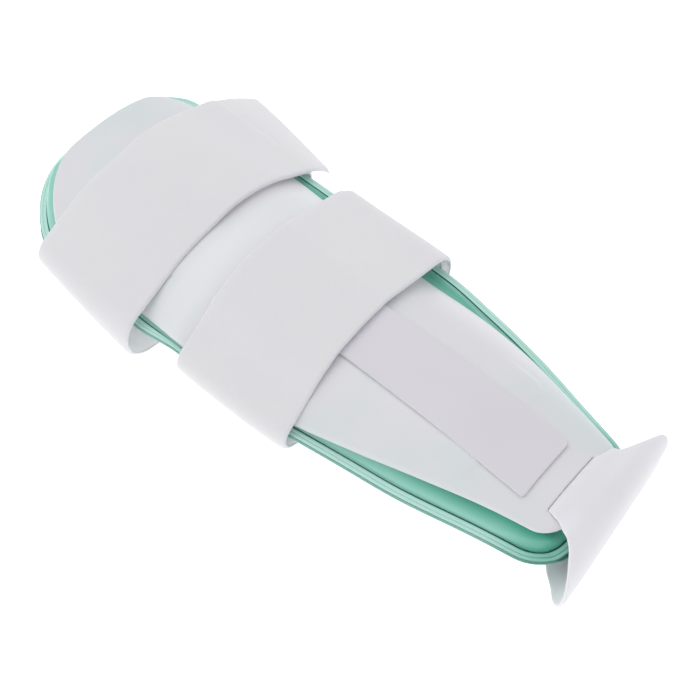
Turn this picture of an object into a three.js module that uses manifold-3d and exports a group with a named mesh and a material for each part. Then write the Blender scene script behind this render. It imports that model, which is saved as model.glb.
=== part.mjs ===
// Stirrup ankle brace, strapped closed and lying on one shell. Millimetres.
// X runs from the calf end to the heel end, Y across the brace, Z up through the stack.
// The two halves mirror each other in the middle plane, z = 0, until the last lines set the brace down.

import * as THREE from 'three';
import { mergeVertices } from 'three/addons/utils/BufferGeometryUtils.js';
import Module from 'manifold-3d';

// Shells
const shellLength = 244;
const shellWidth = 87.5;
const shellWall = 2;
const crownRise = 16.5; // crown above the shell's lowest edge
const calfCorner = { left: 35, right: 19 }; // corner radii at the calf end
const heelCorner = { left: 9, right: 9 };
const calfBow = { rise: 3, middle: 17, run: 40 }; // outward bow of the calf end, and where it has faded
const crownPower = 2.6; // how flat the crown stays before the sides turn down

// Air cells
const cellOverhang = 8; // of the flange past the shell's sides, where a share is 1
const cellCalfReach = 7.5; // reach past the shell's calf end
const cellHeelReach = 4.2;
const cellCalfCorner = { left: 35, right: 16 };
const cellHeelCorner = { left: 13, right: 13 };
const flangeWidth = 3.6;
const flangeThickness = 1;
const cellRamp = 4.2; // run of the rounded side between the flange and the cell's full height
const hollowShare = 0.4; // share of the room under a shell that the hollow for the leg takes

// Straps
const calfStrapWidth = 55;
const calfStrapStart = 19.5; // from the shell's calf end to the strap's edge
const ankleStrapWidth = 52;
const ankleStrapStart = 95;
const strapThickness = 1.5;
const restHalf = 16; // half width of the strap's flat run on the table
const flapReach = 16.3; // calf strap's free end, past the flange
const flapSkew = 12.5; // how much further it reaches at its calf-side edge
const flapDroop = 4;

// Fastening strips on the shells
const stripWidth = 26;
const stripMiddle = -2; // its middle line, from the brace's own
const stripThickness = 1.2;
const stripCorner = 3;
const stripStart = 93; // from the shell's calf end
const stripInset = 16.6; // from its end to the shell's heel end

// Heel strap
const heelStrapWidth = 25.5; // where it goes through a slot
const heelPadLeft = 28.5; // from the middle line to the pad's edge, at the turn
const heelPadRight = 36.5;
const heelStrapThickness = 1.3;
const heelReach = 10.7; // from the shells' heel end to the pad's outermost line
const heelSkew = 0.097; // how far the turn runs back for each millimetre across
const heelTip = 0.6; // how much further back the turn's two tips are
const slotInset = 6; // from the shell's heel end to the middle of the slot
const slotLength = 4.8;
const bowFade = 0.22; // share of the half turn in which it loses the shell's bow
const tailLength = 13; // end of the strap, behind the slot
const tailRoom = 2.9; // how far the cell lies back from the shell under that end
const tailRoomRun = 16; // length over which the cell falls back
const turnPower = { x: 0.74, z: 0.85 }; // how full the turn is, against a quarter ellipse

const gap = 0.3; // between pieces that touch
const cellGap = 0.5; // between a shell and its cell, both built of flat facets

const loopSamples = 60; // equal steps round a strap's loop
const peekTurns = { at: 0.25, spread: 0.16 }; // where a strap's first layer shows past the second
const stepUp = { before: 6, over: 4 }; // steps in which a second layer climbs, before the first turn ends
const cornerShares = [0.04, 0.15, 0.32, 0.56]; // stations round a rounded corner

// Along is a share of the shell's length from the calf end. Half is a share of half the shell's width.
// Crown and edge are shares of the crown's rise. Shift, to the right, is a share of half the shell's width.
const shellSections = [
  { along: 0.0, half: 0.985, crown: 0.74, edge: 0.14, shift: 0.005 },
  { along: 0.1, half: 1.0, crown: 0.92, edge: 0.04, shift: 0.0 },
  { along: 0.3, half: 0.99, crown: 0.98, edge: 0.02, shift: -0.01 },
  { along: 0.45, half: 0.965, crown: 0.95, edge: 0.02, shift: -0.03 },
  { along: 0.58, half: 0.92, crown: 0.95, edge: 0.06, shift: -0.035 },
  { along: 0.7, half: 0.835, crown: 1.03, edge: 0.17, shift: 0.03 },
  { along: 0.8, half: 0.72, crown: 1.04, edge: 0.34, shift: 0.055 },
  { along: 0.9, half: 0.58, crown: 0.92, edge: 0.46, shift: 0.055 },
  { along: 1.0, half: 0.455, crown: 0.76, edge: 0.5, shift: 0.04 },
];

// Over is a share of the cells' overhang. Shift, to the right of the shell, is a share of the overhang too.
const cellSections = [
  { along: 0.0, over: 0.52, shift: 0.0 },
  { along: 0.3, over: 0.68, shift: 0.16 },
  { along: 0.45, over: 0.74, shift: 0.3 },
  { along: 0.6, over: 0.83, shift: 0.49 },
  { along: 0.7, over: 0.79, shift: 0.23 },
  { along: 0.8, over: 0.89, shift: 0.07 },
  { along: 1.0, over: 0.88, shift: 0.05 },
];

// Around is a share of the half turn from the slot to the heel strap's outermost line.
// Left and right are shares of the way from the slot's width out to the pad's edges.
const heelSections = [
  { around: 0.0, left: 0.0, right: 0.0 },
  { around: 0.1, left: 0.2, right: 0.66 },
  { around: 0.2, left: 0.33, right: 0.84 },
  { around: 0.35, left: 0.5, right: 0.97 },
  { around: 0.5, left: 0.66, right: 1.0 },
  { around: 0.7, left: 0.86, right: 1.0 },
  { around: 0.85, left: 0.97, right: 1.0 },
  { around: 1.0, left: 1.0, right: 1.0 },
];

// Start and end count turns, clockwise from the middle of the top. Askew is how far along the strap lies
// at the right flange, and as far the other way at the left. Peek is how far its first layer shows past
// the second there, towards the calf.
const strapTurns = {
  calf: { start: 0.06, end: 1.215, askew: -1.3, peek: 1.2 },
  ankle: { start: -0.07, end: 1.33, askew: -2.5, peek: 3 },
};

// A strap's folds past the flange. Share is across the strap, from its calf-side edge. Slack is how far a
// fold stands off the flange, and drop is how far the left one's middle hangs below the middle plane.
const strapFolds = {
  calf: [
    { share: 0, leftSlack: 2.3, leftRadius: 6, leftDrop: 0, rightSlack: 1, rightRadius: 10 },
    { share: 0.5, leftSlack: 4.9, leftRadius: 8.5, leftDrop: 1.5, rightSlack: 1, rightRadius: 7 },
    { share: 1, leftSlack: 6.6, leftRadius: 12, leftDrop: 4, rightSlack: 0.4, rightRadius: 4.5 },
  ],
  ankle: [
    { share: 0, leftSlack: 0.7, leftRadius: 6, leftDrop: 0, rightSlack: 1.1, rightRadius: 8 },
    { share: 1, leftSlack: 2.2, leftRadius: 7, leftDrop: 1, rightSlack: 0.6, rightRadius: 12 },
  ],
};

const halfWidth = shellWidth / 2;
const middleGap = gap / 2;
const shellBase = middleGap + flangeThickness + cellGap + shellWall;
const layerPitch = strapThickness + gap;
const overStrip = gap + stripThickness + gap / 2; // where a strap clears a fastening strip, above the shell

const smooth = (t) => {
  const s = THREE.MathUtils.clamp(t, 0, 1);
  return s * s * (3 - 2 * s);
};

// Reads one column of a table at a place along its first column, on a smooth curve through the rows.
function column(table, place, name, at) {
  const last = table.length - 1;
  let row = 0;
  while (row < last - 1 && at > table[row + 1][place]) row += 1;
  const a = table[row];
  const b = table[row + 1];
  const before = table[Math.max(row - 1, 0)];
  const after = table[Math.min(row + 2, last)];
  const span = b[place] - a[place];
  const t = THREE.MathUtils.clamp((at - a[place]) / span, 0, 1);
  const slopeA = ((b[name] - before[name]) / (b[place] - before[place])) * span;
  const slopeB = ((after[name] - a[name]) / (after[place] - a[place])) * span;
  const t2 = t * t;
  const t3 = t2 * t;
  return (
    (2 * t3 - 3 * t2 + 1) * a[name] +
    (t3 - 2 * t2 + t) * slopeA +
    (3 * t2 - 2 * t3) * b[name] +
    (t3 - t2) * slopeB
  );
}

const shellColumn = (name, x) => column(shellSections, 'along', name, x / shellLength);
const cellColumn = (name, x) => column(cellSections, 'along', name, x / shellLength);

// Outer face of the upper shell. Its sides follow the same curve where the corners are rounded off.
function shellTop(x, y) {
  const half = shellColumn('half', x) * halfWidth;
  const middle = shellColumn('shift', x) * halfWidth;
  const crown = shellBase + shellColumn('crown', x) * crownRise;
  const edge = shellBase + shellColumn('edge', x) * crownRise;
  const across = Math.min(Math.abs(y - middle) / half, 1);
  return crown - (crown - edge) * across ** crownPower;
}

const shellUnder = (x, y) => shellTop(x, y) - shellWall;

const shellOutline = {
  from: 0,
  to: shellLength,
  cornerFrom: calfCorner,
  cornerTo: heelCorner,
  half: (x) => shellColumn('half', x) * halfWidth,
  middle: (x) => shellColumn('shift', x) * halfWidth,
};

const cellOutline = {
  from: -cellCalfReach,
  to: shellLength + cellHeelReach,
  cornerFrom: cellCalfCorner,
  cornerTo: cellHeelCorner,
  half: (x) => shellOutline.half(x) + cellColumn('over', x) * cellOverhang,
  middle: (x) => shellOutline.middle(x) + cellColumn('shift', x) * cellOverhang,
};

// Half width of an outline at x, on its left or right, with the corners rounded.
function roundedHalf(outline, x, side) {
  const ends = [
    [x - outline.from, outline.cornerFrom[side]],
    [outline.to - x, outline.cornerTo[side]],
  ];
  let half = outline.half(x);
  for (const [inset, corner] of ends) {
    if (inset < corner) half -= corner - Math.sqrt(Math.max(corner ** 2 - (corner - inset) ** 2, 0));
  }
  return half;
}

// How far the shells and cells bow out towards the calf at a point.
function bowAt(x, y) {
  const across = (y - calfBow.middle) / halfWidth;
  return calfBow.rise * (1 - across ** 2) * (1 - smooth(x / calfBow.run));
}

// Distance inwards from an outline's edge.
function insetAt(outline, x, y) {
  const side = outline.half(x) - Math.abs(y - outline.middle(x));
  const corner = y < outline.middle(x) ? 'left' : 'right';
  const ends = [
    [x - outline.from, outline.cornerFrom[corner]],
    [outline.to - x, outline.cornerTo[corner]],
  ];
  let inset = side;
  for (const [end, radius] of ends) {
    const rounded = end < radius && side < radius;
    const here = rounded ? radius - Math.hypot(radius - end, radius - side) : end;
    inset = Math.min(inset, here);
  }
  return Math.max(inset, 0);
}

// A closed solid from a grid of columns, each with a top and a bottom point.
function slab(grid) {
  const rows = grid.length;
  const cols = grid[0].length;
  const positions = [];
  for (const side of ['top', 'bottom']) {
    for (const row of grid) for (const point of row) positions.push(...point[side]);
  }
  const id = (i, j, under) => under * rows * cols + i * cols + j;
  const index = [];
  const quad = (a, b, c, d) => index.push(a, b, c, a, c, d);
  for (let i = 0; i < rows - 1; i += 1) {
    for (let j = 0; j < cols - 1; j += 1) {
      quad(id(i, j, 0), id(i + 1, j, 0), id(i + 1, j + 1, 0), id(i, j + 1, 0));
      quad(id(i, j, 1), id(i, j + 1, 1), id(i + 1, j + 1, 1), id(i + 1, j, 1));
    }
    quad(id(i, 0, 1), id(i + 1, 0, 1), id(i + 1, 0, 0), id(i, 0, 0));
    quad(id(i, cols - 1, 0), id(i + 1, cols - 1, 0), id(i + 1, cols - 1, 1), id(i, cols - 1, 1));
  }
  for (let j = 0; j < cols - 1; j += 1) {
    quad(id(0, j, 0), id(0, j + 1, 0), id(0, j + 1, 1), id(0, j, 1));
    quad(id(rows - 1, j, 1), id(rows - 1, j + 1, 1), id(rows - 1, j + 1, 0), id(rows - 1, j, 0));
  }
  const geometry = new THREE.BufferGeometry();
  geometry.setAttribute('position', new THREE.Float32BufferAttribute(positions, 3));
  geometry.setIndex(index);
  return geometry;
}

// Places along one half of a span: fixed steps near its edge, then even ones as far as the middle.
function placesInwards(edgeSteps, reach, count) {
  const places = [...edgeSteps];
  const start = edgeSteps[edgeSteps.length - 1];
  for (let k = 1; k <= count; k += 1) places.push(start + ((reach - start) * k) / count);
  return places;
}

// A sheet with an outline, between two height functions. The edge steps lie beside each end,
// and beside each side unless a function gives a side its own.
function outlinedSheet(outline, topAt, bottomAt, edgeSteps, alongCount, acrossCount, sideSteps) {
  const stationsFrom = (corner) => {
    const past = edgeSteps[edgeSteps.length - 1] + gap;
    return [...edgeSteps, ...cornerShares.map((share) => share * corner).filter((d) => d > past)];
  };
  const cornerFrom = Math.max(outline.cornerFrom.left, outline.cornerFrom.right);
  const cornerTo = Math.max(outline.cornerTo.left, outline.cornerTo.right);
  const near = stationsFrom(cornerFrom);
  const far = stationsFrom(cornerTo);
  const first = outline.from + cornerFrom;
  const final = outline.to - cornerTo;
  const stations = near.map((d) => outline.from + d);
  for (let k = 0; k <= alongCount; k += 1) stations.push(first + ((final - first) * k) / alongCount);
  stations.push(...far.map((d) => outline.to - d).reverse());
  const grid = stations.map((x) => {
    const halfLeft = roundedHalf(outline, x, 'left');
    const halfRight = roundedHalf(outline, x, 'right');
    const middle = outline.middle(x);
    const stepsAt = (side) => (sideSteps ? sideSteps(x, side) : edgeSteps);
    const left = placesInwards(stepsAt('left'), halfLeft, acrossCount).map((d) => middle - halfLeft + d);
    const rightSteps = placesInwards(stepsAt('right'), halfRight, acrossCount).slice(0, -1);
    const right = rightSteps.map((d) => middle + halfRight - d).reverse();
    return [...left, ...right].map((y) => {
      const placed = x - bowAt(x, y);
      return { top: [placed, y, topAt(x, y)], bottom: [placed, y, bottomAt(x, y)] };
    });
  });
  return slab(grid);
}

// The same solid on the other side of the middle plane.
function mirrored(geometry) {
  const copy = geometry.clone();
  copy.scale(1, 1, -1);
  const index = copy.getIndex();
  for (let k = 0; k < index.count; k += 3) {
    const first = index.getX(k);
    index.setX(k, index.getX(k + 1));
    index.setX(k + 1, first);
  }
  return copy;
}

const wasm = await Module();
wasm.setup();

function toSolid(geometry) {
  const bare = new THREE.BufferGeometry();
  bare.setAttribute('position', geometry.getAttribute('position'));
  bare.setIndex(geometry.getIndex());
  const merged = mergeVertices(bare, 1e-5);
  const vertProperties = new Float32Array(merged.getAttribute('position').array);
  const triVerts = new Uint32Array(merged.getIndex().array);
  return new wasm.Manifold(new wasm.Mesh({ numProp: 3, vertProperties, triVerts }));
}

function toGeometry(solid) {
  const mesh = solid.getMesh();
  const geometry = new THREE.BufferGeometry();
  geometry.setAttribute('position', new THREE.Float32BufferAttribute(mesh.vertProperties, 3));
  geometry.setIndex(Array.from(mesh.triVerts));
  return geometry;
}

// Upper shell, with the slot that the heel strap goes through.
function shell() {
  const sheet = outlinedSheet(shellOutline, shellTop, shellUnder, [0], 15, 6);
  const slotX = shellLength - slotInset;
  const height = 2 * (shellBase + crownRise);
  const cutter = new THREE.BoxGeometry(slotLength, heelStrapWidth + 2 * gap, height);
  cutter.translate(slotX, 0, shellTop(slotX, 0));
  return toGeometry(toSolid(sheet).subtract(toSolid(cutter)));
}

// Underside of the upper cell: an arch over the hollow for the leg, flat along its two sides.
function cellUnder(x, y) {
  const inside = THREE.MathUtils.clamp(x, 0, shellLength);
  const room = shellUnder(inside, 0) - cellGap - middleGap - flangeThickness;
  const across = Math.min(Math.abs(y - shellOutline.middle(inside)) / shellOutline.half(inside), 1);
  return middleGap + hollowShare * room * (1 - across ** 2);
}

// Upper face of the upper cell: the flange, a rounded side, then close under the shell.
function cellTop(x, y) {
  const flange = cellUnder(x, y) + flangeThickness;
  const inside = THREE.MathUtils.clamp(x, 0, shellLength);
  const half = shellOutline.half(inside);
  const middle = shellOutline.middle(inside);
  const nearY = THREE.MathUtils.clamp(y, middle - half, middle + half);
  let full = shellUnder(inside, nearY) - cellGap;
  const tailEnd = shellLength - slotInset - slotLength / 2 - tailLength;
  const underTail = smooth(1 + (x - tailEnd) / tailRoomRun);
  const besideTail = smooth((heelStrapWidth / 2 + cellRamp - Math.abs(y)) / (cellRamp / 2));
  full -= tailRoom * underTail * besideTail;
  const rise = THREE.MathUtils.clamp((insetAt(cellOutline, x, y) - flangeWidth) / cellRamp, 0, 1);
  return flange + Math.max(full - flange, 0) * Math.sqrt(1 - (1 - rise) ** 2);
}

// Insets of a cell's columns at one side: across the flange, up the rounded side and under the shell's edge.
function cellSideSteps(x, side) {
  const inside = THREE.MathUtils.clamp(x, 0, shellLength);
  const outwards = side === 'left' ? -1 : 1;
  const cellEdge = cellOutline.middle(x) + outwards * roundedHalf(cellOutline, x, side);
  const shellEdge = shellOutline.middle(inside) + outwards * shellOutline.half(inside);
  const clear = gap / 3;
  const underEdge = Math.max(outwards * (cellEdge - shellEdge), flangeWidth + gap) + clear;
  const halfUp = (flangeWidth + gap + underEdge) / 2;
  return [0, flangeWidth, halfUp, underEdge, underEdge + cellRamp];
}

function airCell() {
  const steps = [0, flangeWidth, flangeWidth + cellRamp * 0.3, flangeWidth + cellRamp];
  return outlinedSheet(cellOutline, cellTop, cellUnder, steps, 14, 4, cellSideSteps);
}

const stripOutline = {
  from: stripStart,
  to: shellLength - stripInset,
  cornerFrom: { left: stripCorner, right: stripCorner },
  cornerTo: { left: stripCorner, right: stripCorner },
  half: () => stripWidth / 2,
  middle: () => stripMiddle,
};

function hookStrip() {
  const bottom = (x, y) => shellTop(x, y) + gap;
  return outlinedSheet(stripOutline, (x, y) => bottom(x, y) + stripThickness, bottom, [0], 13, 2);
}

// Convex outline round a set of points in the YZ plane, clockwise from the top when seen from the calf end.
function hull(points) {
  const sorted = [...points].sort((a, b) => a[0] - b[0] || a[1] - b[1]);
  const turn = (o, a, b) => (a[0] - o[0]) * (b[1] - o[1]) - (a[1] - o[1]) * (b[0] - o[0]);
  const chain = (list) => {
    const out = [];
    for (const point of list) {
      while (out.length > 1 && turn(out[out.length - 2], out[out.length - 1], point) <= 0) out.pop();
      out.push(point);
    }
    return out.slice(0, -1);
  };
  return [...chain(sorted), ...chain(sorted.reverse())].reverse();
}

// Height of the table below the middle plane, less a strap and its gap: clear of both straps' folds
// over the shells, and low enough that the bulge over the ankle stays off the table.
function restLevel() {
  let highest = 0;
  for (let k = 0; k <= loopSamples; k += 1) {
    const x = (shellLength * k) / loopSamples;
    highest = Math.max(highest, shellTop(x, shellOutline.middle(x)));
  }
  const underAnkle = shellTop(ankleStrapStart, 0) + overStrip;
  const underAnkleEnd = shellTop(ankleStrapStart + ankleStrapWidth, 0) + overStrip;
  const underCalf = shellTop(calfStrapStart + calfStrapWidth, 0);
  const bulge = highest + overStrip + gap - layerPitch;
  return Math.max(underAnkle, underAnkleEnd, underCalf, bulge);
}

const restDepth = restLevel();

// The line that a taut strap takes round the closed brace at x, as equal steps of its length,
// clockwise from the middle of the top, with the folds of one row or share of its table.
function strapLoop(x, fold) {
  const points = [];
  const half = shellOutline.half(x);
  const middle = shellOutline.middle(x);
  const steps = 24;
  for (let k = 0; k <= steps; k += 1) {
    const y = middle - half + (2 * half * k) / steps;
    points.push([y, shellTop(x, y)], [y, -shellTop(x, y)]);
  }
  if (x > stripStart - gap) {
    for (const y of [-stripWidth / 2, 0, stripWidth / 2].map((d) => stripMiddle + d)) {
      const z = shellTop(x, y) + overStrip;
      points.push([y, z], [y, -z]);
    }
  }
  const flange = cellOutline.half(x);
  const centre = cellOutline.middle(x);
  for (let k = 0; k <= steps; k += 1) {
    const angle = (2 * Math.PI * k) / steps;
    const y = Math.cos(angle);
    const z = Math.sin(angle);
    const left = centre - flange - fold('leftSlack') + fold('leftRadius');
    const right = centre + flange + fold('rightSlack') - fold('rightRadius');
    points.push([left + y * fold('leftRadius'), z * fold('leftRadius') - fold('leftDrop')]);
    points.push([right + y * fold('rightRadius'), z * fold('rightRadius')]);
  }
  points.push([-restHalf, -restDepth], [restHalf, -restDepth]);
  const line = hull(points);
  const length = line.reduce((sum, p, k) => {
    const q = line[(k + 1) % line.length];
    return sum + Math.hypot(q[0] - p[0], q[1] - p[1]);
  }, 0);
  const topZ = (k) => line[k % line.length];
  let start = 0;
  while (!(topZ(start)[0] <= 0 && topZ(start + 1)[0] > 0 && topZ(start)[1] > 0)) start += 1;
  const a = topZ(start);
  const b = topZ(start + 1);
  const share = -a[0] / (b[0] - a[0]);
  const ring = [[0, a[1] + share * (b[1] - a[1])]];
  let at = start + 1;
  let from = ring[0];
  let left = length / loopSamples;
  while (ring.length < loopSamples) {
    const to = topZ(at);
    const run = Math.hypot(to[0] - from[0], to[1] - from[1]);
    if (run < left) {
      left -= run;
      from = to;
      at += 1;
    } else {
      from = [from[0] + ((to[0] - from[0]) * left) / run, from[1] + ((to[1] - from[1]) * left) / run];
      ring.push(from);
      left = length / loopSamples;
    }
  }
  return ring;
}

// A strap wound round the closed brace. A second layer steps up over the first at its inner end.
// The flap is a free end past the flange, longer at the calf-side edge by its skew.
function woundStrap(from, width, turns, folds, withFlap) {
  const columns = 5;
  const first = Math.round(turns.start * loopSamples);
  const final = Math.round(turns.end * loopSamples);
  const strips = [];
  for (let c = 0; c < columns; c += 1) {
    const share = c / (columns - 1);
    const x = from + width * share;
    const ring = strapLoop(x, (name) => column(folds, 'share', name, share));
    const at = (k) => ring[((k % loopSamples) + loopSamples) % loopSamples];
    const strip = [];
    for (let k = first; k <= final; k += 1) {
      const before = at(k - 1);
      const after = at(k + 1);
      const run = Math.hypot(after[0] - before[0], after[1] - before[1]);
      const normal = [-(after[1] - before[1]) / run, (after[0] - before[0]) / run];
      const climb = smooth((k - (first + loopSamples - stepUp.before)) / stepUp.over);
      const lift = gap + layerPitch * climb;
      const turnsAway = (k / loopSamples - peekTurns.at) / peekTurns.spread;
      const peek = turns.peek * Math.exp(-(turnsAway ** 2));
      const askew = (turns.askew * (at(k)[0] - cellOutline.middle(x))) / cellOutline.half(x);
      const aside = askew - peek;
      const point = (d) => [x + aside, at(k)[0] + normal[0] * d, at(k)[1] + normal[1] * d];
      strip.push({ top: point(lift + strapThickness), bottom: point(lift) });
    }
    if (withFlap) {
      const end = strip[strip.length - 1];
      const [, beforeY, beforeZ] = strip[strip.length - 3].bottom;
      const run = [end.bottom[1] - beforeY, end.bottom[2] - beforeZ];
      const slope = run[1] / run[0];
      const edge = cellOutline.middle(x) + cellOutline.half(x) + flapReach - flapSkew * (share - 0.5);
      const steps = 3;
      for (let k = 1; k <= steps; k += 1) {
        const dy = ((edge - end.bottom[1]) * k) / steps;
        const lifted = slope * dy - flapDroop * (k / steps) ** 2;
        const move = ([px, py, pz]) => [px, py + dy, pz + lifted];
        strip.push({ top: move(end.top), bottom: move(end.bottom) });
      }
    }
    strips.push(strip);
  }
  const grid = strips[0].map((_, k) => strips.map((strip) => strip[k]).reverse());
  return slab(grid);
}

// Line of the heel strap in the XZ plane, from its end inside the upper shell, out through the slot
// and round to the middle plane.
function heelLine() {
  const half = heelStrapThickness / 2;
  const slotX = shellLength - slotInset;
  const inner = (x) => shellUnder(x, 0) - gap - half;
  const outer = (x) => shellTop(x, 0) + gap + half;
  const ramp = slotLength / 2 - gap;
  const points = [
    [slotX - ramp - tailLength, inner(slotX - ramp - tailLength)],
    [slotX - ramp - tailLength / 2, inner(slotX - ramp - tailLength / 2)],
    [slotX - ramp, inner(slotX - ramp)],
    [slotX + ramp, outer(slotX + ramp)],
  ];
  const start = points[points.length - 1];
  const turnX = shellLength + heelReach - half;
  const steps = 10;
  for (let k = 1; k <= steps; k += 1) {
    const angle = (Math.PI / 2) * (k / steps);
    const x = start[0] + (turnX - start[0]) * Math.sin(angle) ** turnPower.x;
    points.push([x, start[1] * Math.cos(angle) ** turnPower.z]);
  }
  points[points.length - 1][1] = 0;
  return { points, slotIndex: 3 };
}

function heelStrap() {
  const { points, slotIndex } = heelLine();
  const line = [...points, ...points.slice(0, -1).reverse().map(([x, z]) => [x, -z])];
  const last = points.length - 1;
  const columns = 7;
  const slotHalf = heelStrapWidth / 2;
  const grid = line.map(([x, z], k) => {
    const before = line[Math.max(k - 1, 0)];
    const after = line[Math.min(k + 1, line.length - 1)];
    const run = Math.hypot(after[0] - before[0], after[1] - before[1]);
    const normal = [-(after[1] - before[1]) / run, (after[0] - before[0]) / run];
    const fromSlot = last - Math.abs(k - last) - slotIndex;
    const around = THREE.MathUtils.clamp(fromSlot / (last - slotIndex), 0, 1);
    const left = column(heelSections, 'around', 'left', around);
    const right = column(heelSections, 'around', 'right', around);
    const low = -slotHalf - (heelPadLeft - slotHalf) * left;
    const high = slotHalf + (heelPadRight - slotHalf) * right;
    const row = [];
    const side = k <= last ? 1 : -1;
    for (let c = 0; c < columns; c += 1) {
      const y = low + ((high - low) * c) / (columns - 1);
      const tip = heelTip * ((2 * c) / (columns - 1) - 1) ** 4;
      const back = around * (heelSkew * y + tip);
      const bow = (shellTop(Math.min(x, shellLength), y) - shellTop(Math.min(x, shellLength), 0)) * side;
      const bowed = z + bow * (1 - smooth(around / bowFade));
      const point = (d) => [x - back + normal[0] * d, y, bowed + normal[1] * d];
      row.push({ top: point(heelStrapThickness / 2), bottom: point(-heelStrapThickness / 2) });
    }
    return row;
  });
  return slab(grid);
}

const finishes = {
  shell: { color: 0xeceff1, roughness: 0.35, metalness: 0 },
  cell: { color: 0x63bfa2, roughness: 0.4, metalness: 0 },
  strap: { color: 0xf4f4f6, roughness: 0.9, metalness: 0 },
  strip: { color: 0xe8e9ee, roughness: 0.8, metalness: 0 },
};

const brace = new THREE.Group();

function addPiece(name, geometry, finish) {
  const mesh = new THREE.Mesh(geometry, new THREE.MeshStandardMaterial(finishes[finish]));
  mesh.name = name;
  brace.add(mesh);
}

const shellGeometry = shell();
const cellGeometry = airCell();
const stripGeometry = hookStrip();
addPiece('shell_upper', shellGeometry, 'shell');
addPiece('shell_lower', mirrored(shellGeometry), 'shell');
addPiece('air_cell_upper', cellGeometry, 'cell');
addPiece('air_cell_lower', mirrored(cellGeometry), 'cell');
addPiece('hook_strip_upper', stripGeometry, 'strip');
addPiece('hook_strip_lower', mirrored(stripGeometry), 'strip');
const calfStrap = woundStrap(calfStrapStart, calfStrapWidth, strapTurns.calf, strapFolds.calf, true);
const ankleStrap = woundStrap(ankleStrapStart, ankleStrapWidth, strapTurns.ankle, strapFolds.ankle, false);
addPiece('calf_strap', calfStrap, 'strap');
addPiece('ankle_strap', ankleStrap, 'strap');
addPiece('heel_strap', heelStrap(), 'strap');

// Sets the brace down on its straps, with its middle over the origin.
const extent = new THREE.Box3().setFromObject(brace, true);
const middle = extent.getCenter(new THREE.Vector3());
brace.position.set(-middle.x, -middle.y, -extent.min.z);

export default brace;
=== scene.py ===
import math

import bpy
import numpy as np
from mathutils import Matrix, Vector


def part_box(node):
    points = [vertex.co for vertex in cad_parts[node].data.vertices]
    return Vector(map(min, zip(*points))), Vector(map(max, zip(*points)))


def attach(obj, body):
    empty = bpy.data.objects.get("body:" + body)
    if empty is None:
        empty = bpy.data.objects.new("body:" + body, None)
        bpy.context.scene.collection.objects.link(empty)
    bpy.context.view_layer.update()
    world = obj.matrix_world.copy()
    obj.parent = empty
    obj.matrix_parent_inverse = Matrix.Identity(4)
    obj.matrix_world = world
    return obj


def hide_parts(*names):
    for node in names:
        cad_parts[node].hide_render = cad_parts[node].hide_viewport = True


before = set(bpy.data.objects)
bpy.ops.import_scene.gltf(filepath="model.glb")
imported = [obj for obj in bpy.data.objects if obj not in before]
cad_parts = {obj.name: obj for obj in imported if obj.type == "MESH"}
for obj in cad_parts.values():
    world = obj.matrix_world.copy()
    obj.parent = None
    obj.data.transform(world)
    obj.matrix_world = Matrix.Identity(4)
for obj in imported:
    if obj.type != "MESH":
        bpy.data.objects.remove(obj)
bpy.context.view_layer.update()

# Everything is modelled in millimetres from the shells' calf end, with z = 0 between the two halves.
# makeObject moves it into the row frame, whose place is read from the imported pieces.
shellLength = 244.0
stripMiddle = -2.0
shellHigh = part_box("shell_upper")[1]
stripLow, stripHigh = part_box("hook_strip_upper")
originMm = np.array([
    shellHigh[0] * 1000 - shellLength,
    (stripLow[1] + stripHigh[1]) * 500 - stripMiddle,
    (shellHigh[2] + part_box("shell_lower")[0][2]) * 500,
])


def smooth(t):
    s = np.clip(t, 0, 1)
    return s * s * (3 - 2 * s)


# Smooth curve through one column of a table, whose first column is the place.
def readTable(table, name, at):
    place = np.array(next(iter(table.values())), float)
    value = np.array(table[name], float)
    at = np.asarray(at, float)
    row = np.clip(np.searchsorted(place, at, side="left") - 1, 0, len(place) - 2)
    before, after = np.maximum(row - 1, 0), np.minimum(row + 2, len(place) - 1)
    span = place[row + 1] - place[row]
    t = np.clip((at - place[row]) / span, 0, 1)
    slopeA = (value[row + 1] - value[before]) / (place[row + 1] - place[before]) * span
    slopeB = (value[after] - value[row]) / (place[after] - place[row]) * span
    return ((2 * t**3 - 3 * t**2 + 1) * value[row] + (t**3 - 2 * t**2 + t) * slopeA
            + (3 * t**2 - 2 * t**3) * value[row + 1] + (t**3 - t**2) * slopeB)


# A mesh piece from points in millimetres. Flip turns it over for the lower half.
def makeObject(name, vertices, faces, slots, faceMaterials=None, flip=False):
    points = np.array(vertices, float)
    if flip:
        points = points * [1, 1, -1]
        faces = [tuple(reversed(f)) for f in faces]
    mesh = bpy.data.meshes.new(name)
    mesh.from_pydata(((points + originMm) / 1000).tolist(), [], [tuple(map(int, f)) for f in faces])
    for slot in slots:
        mesh.materials.append(slot)
    if faceMaterials is not None:
        mesh.polygons.foreach_set("material_index", np.asarray(faceMaterials, np.int32))
    mesh.polygons.foreach_set("use_smooth", np.ones(len(mesh.polygons), bool))
    mesh.update()
    piece = bpy.data.objects.new(name, mesh)
    bpy.context.scene.collection.objects.link(piece)
    return piece


def applyModifiers(piece):
    mesh = bpy.data.meshes.new_from_object(piece.evaluated_get(bpy.context.evaluated_depsgraph_get()))
    old = piece.data
    piece.modifiers.clear()
    piece.data = mesh
    mesh.name = piece.name
    bpy.data.meshes.remove(old)
    mesh.polygons.foreach_set("use_smooth", np.ones(len(mesh.polygons), bool))
    mesh.update()


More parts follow.
